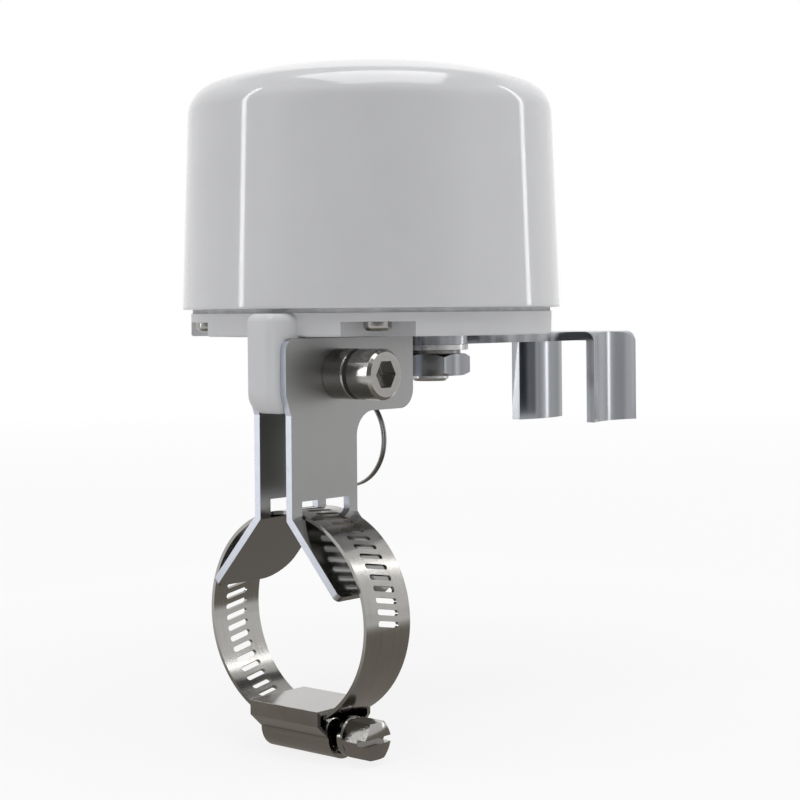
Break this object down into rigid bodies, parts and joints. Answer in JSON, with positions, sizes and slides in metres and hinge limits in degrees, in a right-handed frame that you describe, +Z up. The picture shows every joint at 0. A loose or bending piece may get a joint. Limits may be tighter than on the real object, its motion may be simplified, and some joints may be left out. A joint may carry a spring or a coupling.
{
  "type": "clamp-on smart water valve actuator",
  "caption": "Clamp-on smart water valve actuator: domed motor head with a turning lever fork and clutch pull ring, on a slotted bracket with V feet and a worm-drive pipe clamp.",
  "frame": {"origin": "middle of the hose clamp's band, on the axis of the pipe that it grips", "axes": "+X along the pipe from the bracket towards the lever fork, +Y away from the bracket bolt's head, +Z up from the pipe to the dome"},
  "size_m": [0.1146, 0.08, 0.1385],
  "materials": {
    "white_gloss": "glossy white moulded cover",
    "white_satin": "satin white moulded base",
    "plate_steel": "even mid-grey satin sheet steel",
    "band_steel": "polished stainless strip",
    "screw_steel": "polished stainless fastener",
    "arm_steel": "bright sheet steel",
    "shaft_steel": "turned steel",
    "spring_steel": "drawn spring wire",
    "inner_steel": "zinc-plated steel",
    "gear_steel": "sintered steel",
    "gear_plastic": "acetal",
    "brass": "turned brass",
    "black_rubber": "black rubber",
    "grey_rubber": "grey silicone rubber",
    "black_plastic": "black moulded plastic",
    "board_green": "green solder mask",
    "shield_metal": "tinned shield",
    "clear_lens": "clear light guide",
    "button_grey": "light grey button"
  },
  "bodies": {
    "clamp": {"bracket_front": "plate_steel", "bracket_rear": "plate_steel", "bolt_sleeve": "screw_steel", "bolt_ring": "black_rubber", "bracket_bolt": "screw_steel", "bolt_washer": "screw_steel", "bolt_nut": "screw_steel", "clamp_band": "band_steel", "worm_housing": "band_steel"},
    "clamp_screw": {"worm_screw": "screw_steel"},
    "head": {"dome_cover": "white_gloss", "base_housing": "white_satin", "rim_gasket": "grey_rubber", "cover_screws": "screw_steel", "shaft_bush": "brass", "shaft_seal": "black_rubber", "upper_bush": "brass", "limit_switches": "black_plastic", "switch_screws": "inner_steel", "rod_bushes": "brass", "clutch_spring": "spring_steel", "gear_plate": "inner_steel", "gearbox": "inner_steel", "gearbox_screws": "inner_steel", "motor": "inner_steel", "standoffs": "brass", "circuit_board": "board_green", "board_screws": "inner_steel", "radio_module": "shield_metal", "board_parts": "black_plastic", "status_lens": "clear_lens", "power_inlet": "black_plastic", "inlet_nut": "inner_steel"},
    "output": {"output_shaft": "shaft_steel", "output_gear": "gear_steel", "gear_clip": "spring_steel", "position_cam": "gear_plastic", "lever_arm": "arm_steel", "arm_washer": "shaft_steel", "lock_washer": "spring_steel", "arm_nut": "arm_steel"},
    "pull_rod": {"clutch_rod": "shaft_steel", "spring_washer": "inner_steel", "rod_clips": "spring_steel"},
    "middle_gear": {"clutch_gear": "gear_steel"},
    "finger_ring": {"pull_ring": "spring_steel"},
    "motor_gear": {"pinion_shaft": "shaft_steel", "motor_pinion": "brass"},
    "button": {"pair_button": "button_grey"}
  },
  "joints": [
    {"name": "head_slide", "type": "slide", "parent": "clamp", "child": "head", "axis": [1, 0, 0], "range_m": [-0.0026, 0.0101]},
    {"name": "arm_turn", "type": "hinge", "parent": "head", "child": "output", "pos_m": [0.0384, 0, 0.0533], "axis": [0, 0, 1], "range_deg": [-90, 0]},
    {"name": "clutch_pull", "type": "slide", "parent": "head", "child": "pull_rod", "axis": [0, 0, -1], "range_m": [0, 0.0045], "stiffness_N_per_m": 600, "springref_m": -0.003, "deforming": ["clutch_spring"]},
    {"name": "middle_gear_turn", "type": "hinge", "parent": "pull_rod", "child": "middle_gear", "pos_m": [0.03652, 0.02192, 0.066], "axis": [0, 0, 1], "range_deg": [-2, 160]},
    {"name": "motor_turn", "type": "hinge", "parent": "head", "child": "motor_gear", "pos_m": [0.0244, 0.02892, 0.064], "axis": [0, 0, 1], "range_deg": [-212, 2]},
    {"name": "ring_swing", "type": "hinge", "parent": "pull_rod", "child": "finger_ring", "pos_m": [0.03652, 0.02192, 0.042], "axis": [0, 1, 0], "range_deg": [-75, 75]},
    {"name": "button_press", "type": "slide", "parent": "head", "child": "button", "axis": [-0.7071, -0.7071, 0], "range_m": [0, 0.0005], "stiffness_N_per_m": 1500},
    {"name": "worm_turn", "type": "hinge", "parent": "clamp", "child": "clamp_screw", "pos_m": [0, -0.01, -0.0224], "axis": [0, 1, 0], "continuous": true}
  ],
  "couplings": [
    {"joint": "middle_gear_turn", "follows": "arm_turn", "ratio": -1.75},
    {"joint": "motor_turn", "follows": "arm_turn", "ratio": 2.3333}
  ]
}
